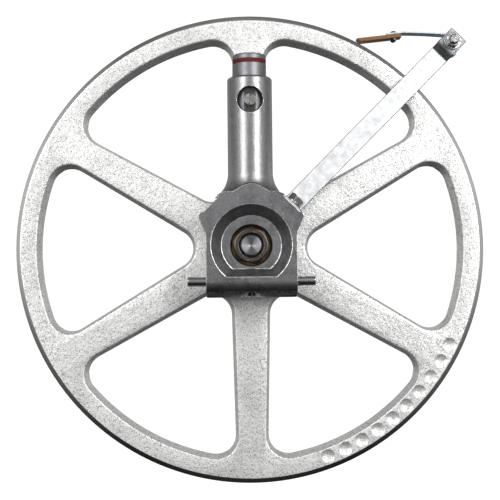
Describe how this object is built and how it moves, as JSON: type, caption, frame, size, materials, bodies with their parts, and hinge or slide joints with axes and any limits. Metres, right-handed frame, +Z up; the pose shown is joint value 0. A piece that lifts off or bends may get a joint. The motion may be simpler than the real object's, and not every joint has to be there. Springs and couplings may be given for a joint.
{
  "type": "band saw upper wheel assembly",
  "caption": "Spoked cast idler wheel on a bearing hub, carried by a hinged yoke with a sprung tension post and a pivoting blade scraper arm.",
  "frame": {"origin": "centre of the spindle's bare rear end face, on the wheel's axis", "axes": "+Y along the wheel's axis from the yoke towards the wheel, +Z up along the tension post, +X to the right seen from the yoke side"},
  "size_m": [0.4064, 0.094, 0.4064],
  "materials": {
    "cast_tinned": "bright tinned sand casting, fine speckled grain, edges ground",
    "cast_iron": "dark oiled casting with milled face, worn bright edges",
    "bearing_steel": "ground bearing steel",
    "plated": "zinc plated",
    "bar_zinc": "dull zinc plated flat bar",
    "black_oxide": "black oxide",
    "brown_oxide": "oiled brown oxide",
    "yellow_zinc": "yellow zinc, worn",
    "polished": "polished",
    "turned_steel": "lathe turned, fine rings",
    "ground_steel": "ground, satin",
    "red_enamel": "red band",
    "spring_steel": "oil tempered wire",
    "leaf_steel": "blued spring strip",
    "phenolic": "brown paper-phenolic board"
  },
  "bodies": {
    "saw_head_pin": {"hinge_pin": "polished"},
    "yoke": {"yoke_casting": "cast_iron", "hinge_grease_plug": "black_oxide", "spindle": "turned_steel", "spindle_nut": "brown_oxide", "spindle_washer": "yellow_zinc", "rear_bearing_inner_ring": "bearing_steel", "front_bearing_inner_ring": "bearing_steel", "bearing_spacer": "plated", "spindle_end_washer": "plated", "spindle_end_screw": "plated", "spring_seat": "plated", "tension_spring": "spring_steel", "scraper_arm": "bar_zinc", "arm_lock_washer": "plated", "arm_bolt": "plated", "scraper_pivot_screw": "plated", "scraper_pivot_washer": "plated", "scraper_pivot_nut": "plated", "scraper_bushing": "turned_steel", "scraper_torsion_spring": "spring_steel"},
    "plunger": {"tension_plunger": "ground_steel", "tension_indicator_ring": "red_enamel", "plunger_stop_screw": "plated"},
    "wheel_and_hub": {"wheel": "cast_tinned", "rear_bearing_outer_ring": "bearing_steel", "front_bearing_outer_ring": "bearing_steel", "rear_grease_shield": "black_oxide", "bearing_retaining_ring": "black_oxide", "hub_cap": "plated"},
    "rear_cage": {"rear_bearing_balls_and_cage": "bearing_steel"},
    "front_cage": {"front_bearing_balls_and_cage": "bearing_steel"},
    "scraper": {"scraper_leaf": "leaf_steel", "scraper_pad": "phenolic", "pad_screw_1": "black_oxide", "pad_screw_2": "black_oxide", "pad_nut_1": "plated", "pad_nut_2": "plated"}
  },
  "joints": [
    {"name": "yoke_tilt", "type": "hinge", "parent": "saw_head_pin", "child": "yoke", "pos_m": [0, 0.0055, -0.03], "axis": [1, 0, 0], "range_deg": [-4, 4]},
    {"name": "plunger_slide", "type": "slide", "parent": "yoke", "child": "plunger", "axis": [0, 0, 1], "range_m": [-0.0035, 0], "stiffness_N_per_m": 20000, "deforming": ["tension_spring"]},
    {"name": "wheel_spin", "type": "hinge", "parent": "yoke", "child": "wheel_and_hub", "pos_m": [0, 0.05, 0], "axis": [0, 1, 0], "continuous": true},
    {"name": "rear_cage_spin", "type": "hinge", "parent": "yoke", "child": "rear_cage", "pos_m": [0, 0.04435, 0], "axis": [0, 1, 0], "continuous": true},
    {"name": "front_cage_spin", "type": "hinge", "parent": "yoke", "child": "front_cage", "pos_m": [0, 0.06565, 0], "axis": [0, 1, 0], "continuous": true},
    {"name": "scraper_pivot", "type": "hinge", "parent": "yoke", "child": "scraper", "pos_m": [0.17678, 0.046, 0.17678], "axis": [0, 1, 0], "range_deg": [0, 25], "stiffness_Nm_per_rad": 0.5, "springref_deg": -22.92}
  ],
  "couplings": [
    {"joint": "rear_cage_spin", "follows": "wheel_spin", "ratio": 0.604},
    {"joint": "front_cage_spin", "follows": "wheel_spin", "ratio": 0.604}
  ]
}
